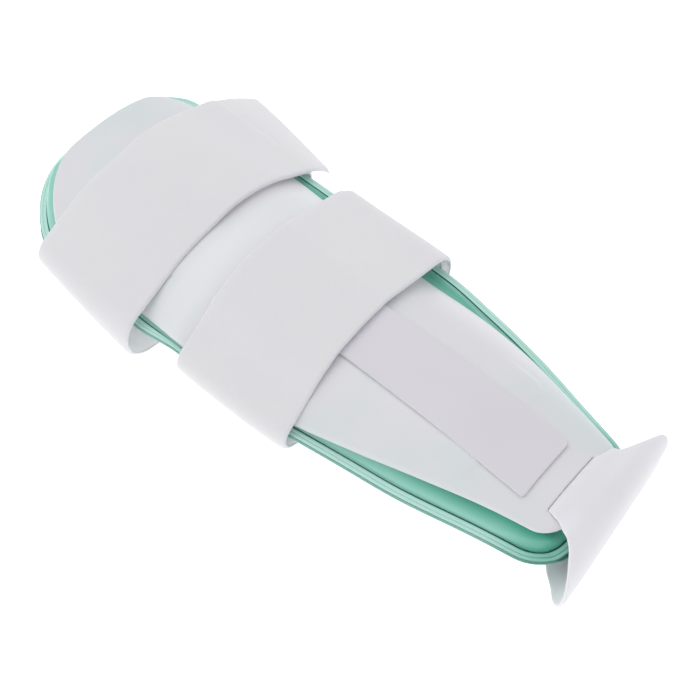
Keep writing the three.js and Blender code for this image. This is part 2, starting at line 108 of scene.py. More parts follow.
# Faces of a closed sheet whose rim points are shared by its two sides.
def sheetFaces(rows, cols):
    top = np.arange(rows * cols).reshape(rows, cols)
    under = top.copy()
    under[1:-1, 1:-1] = rows * cols + np.arange((rows - 2) * (cols - 2)).reshape(rows - 2, cols - 2)
    faces = []
    for grid, turned in ((top, False), (under, True)):
        a, b, c, d = grid[:-1, :-1], grid[1:, :-1], grid[1:, 1:], grid[:-1, 1:]
        quads = np.stack([a, b, c, d], -1).reshape(-1, 4)
        faces.append(quads[:, ::-1] if turned else quads)
    return np.concatenate(faces)


def sheetPoints(top, under):
    return np.concatenate([top.reshape(-1, 3), under[1:-1, 1:-1].reshape(-1, 3)])


# Places along a span: close together at the rounded rim, then even.
def inwards(reach, rim, count):
    edge = rim * np.array([0, 0.08, 0.28, 0.6, 1.0])
    middle = np.linspace(rim, reach - rim, count)[1:-1]
    return np.concatenate([edge, middle, reach - edge[::-1]])


# Share of the full thickness at a distance from a rounded rim.
def rounding(distance, rim):
    return np.sqrt(np.clip(1 - (1 - np.clip(distance / rim, 0, 1)) ** 2, 0, 1))


# Materials

def linear(hexColour):
    parts = [int(hexColour[k:k + 2], 16) / 255 for k in (1, 3, 5)]
    return (*[c / 12.92 if c <= 0.04045 else ((c + 0.055) / 1.055) ** 2.4 for c in parts], 1.0)


# A texture's scale for a pattern whose repeat is this many millimetres.
def patternScale(repeatMm):
    return 1000 / repeatMm


def addNode(tree, kind, values=(), links=(), **settings):
    node = tree.nodes.new(kind)
    for key, value in settings.items():
        setattr(node, key, value)
    for key, value in dict(values).items():
        node.inputs[key].default_value = value
    for key, source in dict(links).items():
        tree.links.new(source, node.inputs[key])
    return node


def newMaterial(name, **values):
    material = bpy.data.materials.new(name)
    material.use_nodes = True
    tree = material.node_tree
    shader = tree.nodes["Principled BSDF"]
    for key, value in values.items():
        shader.inputs[key.replace("_", " ")].default_value = value
    place = addNode(tree, "ShaderNodeTexCoord").outputs["Object"]
    return material, tree, shader, place


# Two colours, each a hex value or another mix, blended by a factor.
def mixColours(tree, factor, first, second):
    node = addNode(tree, "ShaderNodeMix", data_type="RGBA")
    tree.links.new(factor, node.inputs["Factor"])
    for key, colour in (("A", first), ("B", second)):
        if isinstance(colour, str):
            node.inputs[key].default_value = linear(colour)
        else:
            tree.links.new(colour, node.inputs[key])
    return node.outputs["Result"]


# One near a plane across an axis, falling to zero at the given run from it.
def nearPlane(tree, place, axis, middleMm, flatMm, runMm):
    along = addNode(tree, "ShaderNodeSeparateXYZ", (), {"Vector": place}).outputs[axis]
    planeAt = float(originMm["XYZ".index(axis)] + middleMm) / 1000
    off = addNode(tree, "ShaderNodeMath", {1: planeAt}, {0: along}, operation="SUBTRACT")
    away = addNode(tree, "ShaderNodeMath", (), {0: off.outputs[0]}, operation="ABSOLUTE")
    run = {"From Min": flatMm / 1000, "From Max": runMm / 1000, "To Min": 1.0, "To Max": 0.0}
    near = addNode(tree, "ShaderNodeMapRange", run, {"Value": away.outputs[0]},
                   interpolation_type="SMOOTHSTEP")
    return near.outputs["Result"]


# Injection-moulded polypropylene, polished in the tool: a near-white satin skin. The 45 mm clouds are
# the mint cells showing through where the wall is thinner, the 17 mm waves are sink marks, and the 1 mm
# grain breaks up the highlight.
mouldedPolypropylene, tree, shader, place = newMaterial(
    "mouldedPolypropylene", Roughness=0.38, IOR=1.49, Subsurface_Weight=0.08, Subsurface_Scale=0.001)
shader.inputs["Subsurface Radius"].default_value = (1.0, 1.0, 0.9)
clouds = addNode(tree, "ShaderNodeTexNoise", {"Scale": patternScale(45.5), "Detail": 2.0}, {"Vector": place})
cloudLevel = addNode(tree, "ShaderNodeMapRange", {"From Min": 0.48, "From Max": 0.78},
                     {"Value": clouds.outputs["Fac"]})
moulding = mixColours(tree, cloudLevel.outputs["Result"], "#e3e2e5", "#d8e2e1")
paintedLightBetweenStraps = nearPlane(tree, place, "X", 85.0, 3.0, 12.0)  # painted light: whiter between the straps, lifting the shade that falls there
tree.links.new(mixColours(tree, paintedLightBetweenStraps, moulding, "#e9ebec"), shader.inputs["Base Color"])
grain = addNode(tree, "ShaderNodeTexNoise", {"Scale": patternScale(1.11), "Detail": 3.0}, {"Vector": place})
grainRough = addNode(tree, "ShaderNodeMapRange", {"To Min": 0.33, "To Max": 0.45},
                     {"Value": grain.outputs["Fac"]})
tree.links.new(grainRough.outputs["Result"], shader.inputs["Roughness"])
sink = addNode(tree, "ShaderNodeTexNoise", {"Scale": patternScale(16.7), "Detail": 1.0}, {"Vector": place})
sinkBump = addNode(tree, "ShaderNodeBump", {"Strength": 0.25, "Distance": 0.0004},
                   {"Height": sink.outputs["Fac"]})
grainBump = addNode(tree, "ShaderNodeBump", {"Strength": 0.12, "Distance": 0.00006},
                    {"Height": grain.outputs["Fac"], "Normal": sinkBump.outputs["Normal"]})
tree.links.new(grainBump.outputs["Normal"], shader.inputs["Normal"])

# Where painted shade darkens the films: middle, flat half width and run to nothing, in millimetres.
paintedFilmShade = {
    "betweenHalves": (0.0, 1.5, 10.5),  # pale there, painted shade deeper above and below, towards the shells
    "heelHalf": (240.0, 25.0, 230.0),
    "heelCorner": (250.0, 6.0, 30.0), "heelCornerLevel": 0.75,
    "rightWall": (46.0, 10.0, 24.0), "rightWallLength": (150.0, 70.0, 110.0),
}


# High-frequency welded polyurethane film: glossy and a little see-through, with painted shade that makes it
# darker where it stands up under the shell, round the heel end and along its right wall. Fine puckers 4 mm
# apart break up its shine.
def filmMaterial(name, pale, shadedColour, roughness, softness=0.2, rightWallShade=0.0):
    material, tree, shader, place = newMaterial(
        name, Roughness=roughness, IOR=1.5, Subsurface_Weight=softness, Subsurface_Scale=0.0012)
    shader.inputs["Subsurface Radius"].default_value = (0.6, 1.0, 0.9)
    # Painted shade: the base colour goes from pale to shaded by place, standing in for shade.
    low = nearPlane(tree, place, "Z", *paintedFilmShade["betweenHalves"])
    risen = addNode(tree, "ShaderNodeMath", {0: 1.0}, {1: low}, operation="SUBTRACT")
    heelwards = nearPlane(tree, place, "X", *paintedFilmShade["heelHalf"])
    depth = addNode(tree, "ShaderNodeMath", (), {0: risen.outputs[0], 1: heelwards}, operation="MULTIPLY")
    corner = nearPlane(tree, place, "X", *paintedFilmShade["heelCorner"])
    cornerDepth = addNode(tree, "ShaderNodeMath", {1: paintedFilmShade["heelCornerLevel"]}, {0: corner},
                          operation="MULTIPLY")
    heelDepth = addNode(tree, "ShaderNodeMath", (), {0: depth.outputs[0], 1: cornerDepth.outputs[0]},
                        operation="MAXIMUM")
    wall = nearPlane(tree, place, "Y", *paintedFilmShade["rightWall"])
    wallLevel = addNode(tree, "ShaderNodeMath", {1: rightWallShade}, {0: wall}, operation="MULTIPLY")
    wallLength = nearPlane(tree, place, "X", *paintedFilmShade["rightWallLength"])
    wallDepth = addNode(tree, "ShaderNodeMath", (), {0: wallLevel.outputs[0], 1: wallLength},
                        operation="MULTIPLY")
    level = addNode(tree, "ShaderNodeMath", (), {0: heelDepth.outputs[0], 1: wallDepth.outputs[0]},
                    operation="MAXIMUM")
    tree.links.new(mixColours(tree, level.outputs[0], pale, shadedColour), shader.inputs["Base Color"])
    pucker = addNode(tree, "ShaderNodeTexNoise",
                     {"Scale": patternScale(3.85), "Detail": 2.0, "Distortion": 0.6}, {"Vector": place})
    bump = addNode(tree, "ShaderNodeBump", {"Strength": 0.2, "Distance": 0.0003},
                   {"Height": pucker.outputs["Fac"]})
    tree.links.new(bump.outputs["Normal"], shader.inputs["Normal"])
    return material


weldedFilm = filmMaterial("weldedFilm", "#a3dacd", "#2ea385", 0.32)
# The same film blown up, glossier where it is stretched, and with more painted shade along its right wall.
inflatedFilm = filmMaterial("inflatedFilm", "#9ad6c7", "#2aa082", 0.3, 0.2, 0.62)
# The weld's pressed line, where the two films are melted into one: partly its clearer colour, partly painted
# shade of the narrow gaps along the welds.
pressedWeldAndShade = filmMaterial("pressedWeldAndShade", "#0f6850", "#0a4c3a", 0.5, 0.0)
# The film pushed up beside the weld, thin enough to look milky.
weldBead = filmMaterial("weldBead", "#c2e9df", "#7fc9b4", 0.25)
# The trimmed outer edge, where both films' cut faces show.
cutFilm = filmMaterial("cutFilm", "#a4cfc3", "#6fae9c", 0.4)


# Nylon loop cloth brushed on foam: a matt, close pile with a soft sheen. The pile is drawn about twice
# its real 0.2 mm repeat so that it still shows, and the 29 mm mottling is the nap lying both ways.
def brushedMaterial(name, light, shade, pile, pileMm):
    material, tree, shader, place = newMaterial(
        name, Roughness=0.92, IOR=1.5, Sheen_Weight=0.35, Sheen_Roughness=0.4,
        Subsurface_Weight=0.3, Subsurface_Scale=0.0018)
    shader.inputs["Subsurface Radius"].default_value = (1.0, 1.0, 1.0)
    shader.inputs["Specular IOR Level"].default_value = 0.25
    nap = addNode(tree, "ShaderNodeTexNoise", {"Scale": patternScale(28.6), "Detail": 3.0}, {"Vector": place})
    tree.links.new(mixColours(tree, nap.outputs["Fac"], light, shade), shader.inputs["Base Color"])
    loops = addNode(tree, "ShaderNodeTexVoronoi", {"Scale": patternScale(pileMm), "Randomness": 1.0},
                    {"Vector": place})
    fuzz = addNode(tree, "ShaderNodeTexNoise", {"Scale": patternScale(pileMm / 0.7), "Detail": 4.0},
                   {"Vector": place})
    napBump = addNode(tree, "ShaderNodeBump", {"Strength": 0.3, "Distance": 0.0005},
                      {"Height": nap.outputs["Fac"]})
    loopBump = addNode(tree, "ShaderNodeBump", {"Strength": pile, "Distance": 0.00012},
                       {"Height": loops.outputs["Distance"], "Normal": napBump.outputs["Normal"]})
    fuzzBump = addNode(tree, "ShaderNodeBump", {"Strength": pile, "Distance": 0.00008},
                       {"Height": fuzz.outputs["Fac"], "Normal": loopBump.outputs["Normal"]})
    tree.links.new(fuzzBump.outputs["Normal"], shader.inputs["Normal"])
    return material


brushedLoop = brushedMaterial("brushedLoop", "#e7e7e7", "#e4e2e5", 0.3, 0.385)
# The heel pad's cover: the same cloth in a finer, cleaner white.
heelCloth = brushedMaterial("heelCloth", "#eeecf0", "#e9e8ec", 0.2, 0.333)
# Cut edge of the laminate: foam core between two knitted faces, as white as they are but more open.
cutFoam = brushedMaterial("cutFoam", "#e8e8eb", "#e1e0e5", 0.45, 0.556)
# The straps' foam backing, made to glow a little: painted light that keeps their inner sides bright where
# shade would fall.
foamBackingGlow = brushedMaterial("foamBackingGlow", "#efefef", "#ebebee", 0.3, 0.5)
foamGlowShader = foamBackingGlow.node_tree.nodes["Principled BSDF"]
foamGlowShader.inputs["Emission Color"].default_value = linear("#f6f6f8")
foamGlowShader.inputs["Emission Strength"].default_value = 0.12

# Woven nylon fastening tape, pressed nearly flat: tufts 0.6 mm apart, drawn at their real size and only
# just raised, over slow lilac and white patches left by the adhesive beneath.
hookTape, tree, shader, place = newMaterial("hookTape", Roughness=0.7, IOR=1.5)
patches = addNode(tree, "ShaderNodeTexNoise", {"Scale": patternScale(33.3), "Detail": 2.0}, {"Vector": place})
tree.links.new(mixColours(tree, patches.outputs["Fac"], "#dcd9de", "#e2e0e4"), shader.inputs["Base Color"])
tufts = addNode(tree, "ShaderNodeTexVoronoi", {"Scale": patternScale(0.588), "Randomness": 0.9},
                {"Vector": place})
tuftBump = addNode(tree, "ShaderNodeBump", {"Strength": 0.15, "Distance": 0.00008},
                   {"Height": tufts.outputs["Distance"]})
tree.links.new(tuftBump.outputs["Normal"], shader.inputs["Normal"])


# Shells

shell = {
    "length": shellLength, "half": 43.75, "wall": 2.0, "rise": 16.5, "base": 3.65, "power": 2.6,
    "calfCorner": (35.0, 19.0), "heelCorner": (9.0, 9.0), "rim": 1.3, "calmRim": 6.0,
    "slotInset": 6.0, "slotLength": 4.8, "slotWidth": 25.6, "slotCorner": 1.0, "slotSteps": 32,
}
calfBow = {"rise": 3.0, "middle": 17.0, "run": 40.0}
shellTable = {
    "along": [0, 0.1, 0.3, 0.45, 0.58, 0.7, 0.8, 0.9, 1.0],
    "half": [0.985, 1.0, 0.99, 0.965, 0.92, 0.835, 0.72, 0.58, 0.455],
    "crown": [0.74, 0.92, 0.98, 0.95, 0.95, 1.03, 1.04, 0.92, 0.76],
    "edge": [0.14, 0.04, 0.02, 0.02, 0.06, 0.17, 0.34, 0.46, 0.5],
    "shift": [0.005, 0.0, -0.01, -0.03, -0.035, 0.03, 0.055, 0.055, 0.04],
}
# Soft ridges (+) and valleys (-) between the straps and beside the strips, from one point to another.
# They and the panel fade out towards the shell's edge, over its calmRim.
reliefs = [
    {"from": (76.5, -20), "to": (76, 34), "width": 2.6, "height": -0.45},
    {"from": (85.5, -8), "to": (81, 29), "width": 3.0, "height": 0.5},
    {"from": (91.5, -26), "to": (93, 2), "width": 2.4, "height": -0.4},
    {"from": (88.5, 23), "to": (92.5, 17.5), "width": 0.8, "height": -0.3},
    {"from": (71, -34), "to": (80, -25.5), "width": 0.9, "height": -0.3},
    {"from": (148.4, -34), "to": (160.5, -21), "width": 0.5, "height": 0.3},
    {"from": (188, -18.3), "to": (205, -17.7), "width": 0.7, "height": 0.12},
]
# Faint raised panel that the strip's end lies on.
panel = {
    "start": 186.0, "fadeIn": 16.0, "end": 208.8, "half": 24.4, "middle": 0.2, "corner": 6.0,
    "height": 0.4, "ramp": 0.9,
}


def shellEdge(x):
    return readTable(shellTable, "half", x / shell["length"]) * shell["half"]


def shellMiddle(x):
    return readTable(shellTable, "shift", x / shell["length"]) * shell["half"]


def shellTop(x, y):
    crown = shell["base"] + readTable(shellTable, "crown", x / shell["length"]) * shell["rise"]
    edge = shell["base"] + readTable(shellTable, "edge", x / shell["length"]) * shell["rise"]
    across = np.minimum(np.abs(y - shellMiddle(x)) / shellEdge(x), 1)
    return crown - (crown - edge) * across ** shell["power"]


def relief(x, y):
    total = np.zeros_like(x)
    for row in reliefs:
        a, b = np.array(row["from"], float), np.array(row["to"], float)
        run = b - a
        share = np.clip(((x - a[0]) * run[0] + (y - a[1]) * run[1]) / (run @ run), 0, 1)
        away = np.hypot(x - a[0] - share * run[0], y - a[1] - share * run[1])
        fade = 0.35 + 0.65 * np.sin(np.pi * np.clip(share, 0.12, 0.88))  # fainter towards both ends
        total += row["height"] * np.exp(-(away / row["width"]) ** 2) * fade
    dx = x - panel["end"] + panel["corner"]
    dy = np.abs(y - panel["middle"]) - panel["half"] + panel["corner"]
    outside = np.hypot(np.maximum(dx, 0), np.maximum(dy, 0)) - panel["corner"]
    outside += np.minimum(np.maximum(dx, dy), 0)
    raised = smooth(-outside / panel["ramp"]) * smooth((x - panel["start"]) / panel["fadeIn"])
    return total + panel["height"] * raised


# Half widths to the left and right with rounded corners, from the distances to both ends.
def outlineHalves(half, fromEnd, cornersFrom, toEnd, cornersTo):
    sides = []
    for cornerFrom, cornerTo in zip(cornersFrom, cornersTo):
        rounded = half
        for inset, corner in ((fromEnd, cornerFrom), (toEnd, cornerTo)):
            cut = corner - np.sqrt(np.clip(corner**2 - (corner - inset) ** 2, 0, None))
            rounded = np.where(inset < corner, rounded - cut, rounded)
        sides.append(rounded)
    return sides


# The calf end is a soft arc: how far a point moves out there.
def bowAt(x, y):
    across = (y - calfBow["middle"]) / shell["half"]
    return calfBow["rise"] * (1 - across**2) * (1 - smooth(x / calfBow["run"]))


# Stations along a rounded outline: close together where its corners turn fastest.
def roundedStations(start, stop, cornersFrom, cornersTo, count):
    cornerFrom, cornerTo = max(cornersFrom), max(cornersTo)
    near = start + cornerFrom * (1 - np.cos(np.linspace(0, np.pi / 2, 18)))
    far = stop - cornerTo * (1 - np.cos(np.linspace(np.pi / 2, 0, 12)))
    return np.concatenate([near[:-1], np.linspace(near[-1], far[0], count), far[1:]])


# A prism with rounded corners that cuts the heel strap's slot.
def makeSlotCutter(name, flip):
    slotX = shell["length"] - shell["slotInset"]
    corner, steps = shell["slotCorner"], shell["slotSteps"]
    ring = []
    for k in range(steps):
        angle = 2 * math.pi * (k + 0.5) / steps
        cx = math.copysign(shell["slotLength"] / 2 - corner, math.cos(angle))
        cy = math.copysign(shell["slotWidth"] / 2 - corner, math.sin(angle))
        ring.append((slotX + cx + corner * math.cos(angle), cy + corner * math.sin(angle)))
    cut = [(px, py, z) for z in (8.0, 24.0) for px, py in ring]  # from below the wall to above it
    faces = [tuple(reversed(range(steps))), tuple(range(steps, 2 * steps))]
    faces += [(k, (k + 1) % steps, steps + (k + 1) % steps, steps + k) for k in range(steps)]
    return makeObject(name, cut, faces, [mouldedPolypropylene], flip=flip)


def makeShell(name, node, flip):
    length = shell["length"]
    x = roundedStations(0.0, length, shell["calfCorner"], shell["heelCorner"], 150)
    left, right = outlineHalves(shellEdge(x), x, shell["calfCorner"], length - x, shell["heelCorner"])
    share = inwards(2.0, 0.09, 56) - 1
    xx = np.repeat(x[:, None], len(share), 1)
    half = np.where(share[None, :] < 0, left[:, None], right[:, None])
    yy = shellMiddle(xx) + half * share[None, :]
    side = half * (1 - np.abs(share[None, :]))
    inset = np.minimum(side, np.minimum(xx, length - xx))
    full = rounding(inset, shell["rim"])
    top = shellTop(xx, yy) + relief(xx, yy) * smooth(inset / shell["calmRim"])
    middle = top - shell["wall"] / 2
    height = shell["wall"] / 2 * full
    placed = xx - bowAt(xx, yy)
    upper = np.stack([placed, yy, middle + height], -1)
    lower = np.stack([placed, yy, middle - height], -1)
    points, faces = sheetPoints(upper, lower), sheetFaces(*xx.shape)
    piece = makeObject(name, points, faces, [mouldedPolypropylene], flip=flip)
    cutter = makeSlotCutter(name + "_cutter", flip)
    slot = piece.modifiers.new("slot", "BOOLEAN")
    slot.operation = "DIFFERENCE"
    slot.solver = "EXACT"
    slot.object = cutter
    applyModifiers(piece)
    bpy.data.objects.remove(cutter, do_unlink=True)
    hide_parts(node)
    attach(piece, "root")


makeShell("shellMouldingUpper", "shell_upper", False)
makeShell("shellMouldingLower", "shell_lower", True)
print("shells done")


# Air cells

cell = {
    "overhang": 8.0, "flange": 3.6, "thickness": 1.0, "ramp": 4.2, "hollow": 0.4, "gap": 0.5,
    "middleGap": 0.15, "calfCorner": (35.0, 16.0), "heelCorner": (13.0, 13.0), "start": -7.5, "stop": 248.2,
    "tailRoom": 2.9, "tailEnd": 222.6, "tailRun": 16.0, "tailHalf": 16.95,  # room for the heel strap's tail
}
cellTable = {
    "along": [0, 0.3, 0.45, 0.6, 0.7, 0.8, 1.0],
    "over": [0.52, 0.68, 0.74, 0.83, 0.79, 0.89, 0.88],
    "shift": [0.0, 0.16, 0.3, 0.49, 0.23, 0.07, 0.05],
}
# The ankle strap squeezes the flange's left side where it goes under the strap.
pinch = {"from": 74.0, "to": 128.0, "run": 20.0, "depth": 2.2}
pillow = {
    "calfRows": [0, 0.6, 1.8, 3.6, 6.0, 9.0, 13.0, 18.0], "heelRows": [7.0, 4.4, 2.4, 1.0, 0.3, 0],
    "sideSteps": [0, 0.25, 0.8, 1.8, 3.2, 5.0], "shrink": 0.5, "shrinkRun": 8.0, "weldDrop": 0.4,
    "quality": 6, "mass": 0.3, "pressure": 4.0, "frames": 20, "swellMm": 0.9, "fill": 0.7,
}
# Flange section from its outer edge inwards: how far in, how high, and what each stretch is made of.
flangeFinishes = {"film": weldedFilm, "weld": pressedWeldAndShade, "bead": weldBead, "cut": cutFilm}
flangeSection = [
    {"in": 0.0, "up": 0.3, "of": "cut"}, {"in": 0.05, "up": 0.5, "of": "weld"},
    {"in": 0.2, "up": 0.55, "of": "cut"}, {"in": 0.3, "up": 0.74, "of": "bead"},
    {"in": 0.7, "up": 0.95, "of": "bead"}, {"in": 1.3, "up": 1.0, "of": "film"},
    {"in": 1.5, "up": 0.86, "of": "film"}, {"in": 1.62, "up": 0.84, "of": "bead"},
    {"in": 1.85, "up": 1.0, "of": "bead"}, {"in": 2.8, "up": 1.05, "of": "film"},
    {"in": 3.02, "up": 0.98, "of": "weld"}, {"in": 3.08, "up": 0.5, "of": "weld"},
    {"in": 3.4, "up": 0.5, "of": "weld"}, {"in": 3.46, "up": 0.9, "of": "film"},
    {"in": 4.4, "up": 0.9, "of": "film"}, {"in": 4.4, "up": 0.25, "of": "film"},
    {"in": 0.5, "up": 0.05, "of": "cut"}, {"in": 0.05, "up": 0.12, "of": "cut"},
]


def cellEdge(x):
    return shellEdge(x) + readTable(cellTable, "over", x / shell["length"]) * cell["overhang"]


def cellMiddle(x):
    return shellMiddle(x) + readTable(cellTable, "shift", x / shell["length"]) * cell["overhang"]


def cellUnder(x, y):
    inside = np.clip(x, 0, shell["length"])
    crown = shellTop(inside, np.zeros_like(y)) - shell["wall"] - cell["gap"]
    room = crown - cell["middleGap"] - cell["thickness"]
    across = np.minimum(np.abs(y - shellMiddle(inside)) / shellEdge(inside), 1)
    return cell["middleGap"] + cell["hollow"] * room * (1 - across**2)


def cellTop(x, y, inset):
    flange = cellUnder(x, y) + cell["thickness"]
    inside = np.clip(x, 0, shell["length"])
    half, middle = shellEdge(inside), shellMiddle(inside)
    nearY = np.clip(y, middle - half, middle + half)
    full = shellTop(inside, nearY) - shell["wall"] - cell["gap"]
    underTail = smooth(1 + (x - cell["tailEnd"]) / cell["tailRun"])
    besideTail = smooth((cell["tailHalf"] - np.abs(y)) / (cell["ramp"] / 2))
    full = full - cell["tailRoom"] * underTail * besideTail
    rise = np.clip((inset - cell["flange"]) / cell["ramp"], 0, 1)
    return flange + np.maximum(full - flange, 0) * np.sqrt(1 - (1 - rise) ** 2)


def squeeze(x, y):
    near = smooth((x - pinch["from"]) / pinch["run"]) * smooth((pinch["to"] - x) / pinch["run"])
    return pinch["depth"] * near * (y < 0)


# The cell's outline in plan, evenly spaced, anticlockwise, with its inward normals.
def cellOutline(steps):
    start, stop = cell["start"], cell["stop"]
    calfCorner, heelCorner = cell["calfCorner"], cell["heelCorner"]
    x = roundedStations(start, stop, calfCorner, heelCorner, 240)
    leftHalf, rightHalf = outlineHalves(cellEdge(x), x - start, calfCorner, stop - x, heelCorner)
    right = np.stack([x, cellMiddle(x) + rightHalf], -1)
    left = np.stack([x, cellMiddle(x) - leftHalf], -1)
    line = np.concatenate([left, right[::-1]])
    line[:, 0] -= bowAt(line[:, 0], line[:, 1])
    closed = np.concatenate([line, line[:1]])
    run = np.concatenate([[0], np.cumsum(np.hypot(*np.diff(closed, axis=0).T))])
    at = np.linspace(0, run[-1], steps, endpoint=False)
    points = np.stack([np.interp(at, run, closed[:, k]) for k in (0, 1)], -1)
    for _ in range(4):
        points = (np.roll(points, 1, 0) + 2 * points + np.roll(points, -1, 0)) / 4
    along = np.roll(points, -1, 0) - np.roll(points, 1, 0)
    along /= np.linalg.norm(along, axis=1)[:, None]
    return points, np.stack([-along[:, 1], along[:, 0]], -1)


# The welded rim round a cell, moved out by a reach so that the lower rim shows past the upper one.
def makeFlange(name, flip, reach):
    outline, normal = cellOutline(620)
    vertices, materials = [], []
    squeezed = squeeze(outline[:, 0], outline[:, 1])[:, None]
    widest = max(row["in"] for row in flangeSection)
    for row in flangeSection:
        plan = outline + normal * (row["in"] - reach + squeezed * (1 - row["in"] / widest))
        vertices.append(np.column_stack([plan, cellUnder(plan[:, 0], plan[:, 1]) + row["up"]]))
    around, rows = len(outline), len(flangeSection)
    finishes = list(flangeFinishes)
    faces = []
    for r in range(rows):
        here, following = r * around, (r + 1) % rows * around
        for k in range(around):
            after = (k + 1) % around
            faces.append((here + k, here + after, following + after, following + k))
            materials.append(finishes.index(flangeSection[r]["of"]))
    slots = list(flangeFinishes.values())
    piece = makeObject(name, np.concatenate(vertices), faces, slots, materials, flip)
    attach(piece, "root")


# Air pressure between the welds, with each point's movement capped.
def blowUp(piece, edge):
    rest = np.array([v.co for v in piece.data.vertices])
    weld = piece.vertex_groups.new(name="weld")
    weld.add([int(k) for k in np.flatnonzero(edge.ravel())], 1.0, "REPLACE")
    cloth = piece.modifiers.new("air", "CLOTH")
    cloth.settings.quality = pillow["quality"]
    cloth.settings.mass = pillow["mass"]
    cloth.settings.use_pressure = True
    cloth.settings.uniform_pressure_force = pillow["pressure"]
    cloth.settings.vertex_group_mass = "weld"
    cloth.settings.effector_weights.gravity = 0.0
    for number in range(1, pillow["frames"] + 1):
        bpy.context.scene.frame_set(number)
    blown = piece.evaluated_get(bpy.context.evaluated_depsgraph_get()).to_mesh()
    moved = np.array([v.co for v in blown.vertices]) - rest
    size = np.linalg.norm(moved, axis=1)[:, None]
    piece.modifiers.clear()
    bpy.context.scene.frame_set(1)
    rest += moved * np.minimum(1, pillow["swellMm"] / 1000 / np.maximum(size, 1e-9))
    piece.data.vertices.foreach_set("co", rest.ravel())
    piece.data.update()


# The inflated part of a cell, blown up a little by simulation between its welds.
def makePillow(name):
    inset = cell["flange"] - 0.1  # its rim lies just inside the flange
    start, stop = cell["start"] + inset, cell["stop"] - inset
    x = np.concatenate([start + np.array(pillow["calfRows"]), np.linspace(start + 24, stop - 11, 52),
                        stop - np.array(pillow["heelRows"])])
    corners = [tuple(r - inset for r in cell[end]) for end in ("calfCorner", "heelCorner")]
    left, right = outlineHalves(cellEdge(x) - inset, x - start, corners[0], stop - x, corners[1])
    steps = np.array(pillow["sideSteps"])
    rows, sides = [], []
    for xk, leftK, rightK in zip(x, left, right):
        fromLeft = np.concatenate([steps, np.linspace(steps[-1], leftK, 7)[1:]])
        fromRight = np.concatenate([steps, np.linspace(steps[-1], rightK, 7)[1:-1]])[::-1]
        rows.append(cellMiddle(xk) + np.concatenate([fromLeft - leftK, rightK - fromRight]))
        sides.append(np.concatenate([fromLeft, fromRight]))
    yy, side = np.array(rows), np.array(sides)
    xx = np.repeat(x[:, None], yy.shape[1], 1)
    corner = np.minimum(side, np.minimum(xx - start, stop - xx))
    shrink = smooth(corner / pillow["shrinkRun"]) * pillow["shrink"]
    top = cellTop(xx, yy, corner + inset) - shrink
    under = cellUnder(xx, yy) + shrink
    rim = cellUnder(xx, yy) + cell["thickness"] - pillow["weldDrop"]
    edge = np.zeros_like(xx, bool)
    edge[[0, -1], :] = True
    edge[:, [0, -1]] = True
    top = np.where(edge, rim, np.maximum(top, rim + 0.02))
    placed = xx - bowAt(xx, yy)
    upper, lower = np.stack([placed, yy, top], -1), np.stack([placed, yy, under], -1)
    piece = makeObject(name, sheetPoints(upper, lower), sheetFaces(*xx.shape), [inflatedFilm])
    blowUp(piece, edge)
    finer = piece.modifiers.new("finer", "SUBSURF")
    finer.levels = 2
    applyModifiers(piece)
    return piece


# A copy for the lower half, mirrored in the plane between the halves.
def turnedOver(piece, name):
    mesh = piece.data.copy()
    mesh.name = name
    points = np.empty(len(mesh.vertices) * 3)
    mesh.vertices.foreach_get("co", points)
    points = points.reshape(-1, 3)
    points[:, 2] = 2 * originMm[2] / 1000 - points[:, 2]
    mesh.vertices.foreach_set("co", points.ravel())
    mesh.flip_normals()
    copy = bpy.data.objects.new(name, mesh)
    bpy.context.scene.collection.objects.link(copy)
    return copy


pillowUpper = makePillow("airPillowUpper")
pillowLower = turnedOver(pillowUpper, "airPillowLower")
for piece, node in ((pillowUpper, "air_cell_upper"), (pillowLower, "air_cell_lower")):
    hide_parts(node)
    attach(piece, "root")
makeFlange("weldFlangeUpper", False, 0.0)
makeFlange("weldFlangeLower", True, 0.35)
print("air cells done")


# Fastening strips

strip = {
    "start": 96.5, "length": 130.9, "half": 13.0, "middle": stripMiddle, "thickness": 1.2,
    "corners": (1.4, 3.0), "gap": 0.3, "rim": 0.35,
}


def makeStrip(name, node, flip):
    stop = strip["start"] + strip["length"]
    corners = strip["corners"]
    x = roundedStations(strip["start"], stop, corners, corners, 110)
    sides = outlineHalves(np.full_like(x, strip["half"]), x - strip["start"], corners, stop - x, corners)
    share = inwards(2.0, 0.05, 26) - 1
    xx = np.repeat(x[:, None], len(share), 1)
    half = np.where(share[None, :] < 0, sides[0][:, None], sides[1][:, None])
    yy = strip["middle"] + half * share[None, :]
    side = half * (1 - np.abs(share[None, :]))
    inset = np.minimum(side, np.minimum(xx - strip["start"], stop - xx))
    full = rounding(inset, strip["rim"])
    bottom = shellTop(xx, yy) + strip["gap"]
    middle = bottom + strip["thickness"] / 2
    height = strip["thickness"] / 2 * full
    upper = np.stack([xx, yy, middle + height], -1)
    lower = np.stack([xx, yy, middle - height], -1)
    piece = makeObject(name, sheetPoints(upper, lower), sheetFaces(*xx.shape), [hookTape], flip=flip)
    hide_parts(node)
    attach(piece, "root")


makeStrip("hookTapeUpper", "hook_strip_upper", False)
makeStrip("hookTapeLower", "hook_strip_lower", True)
print("strips done")


# Wound straps

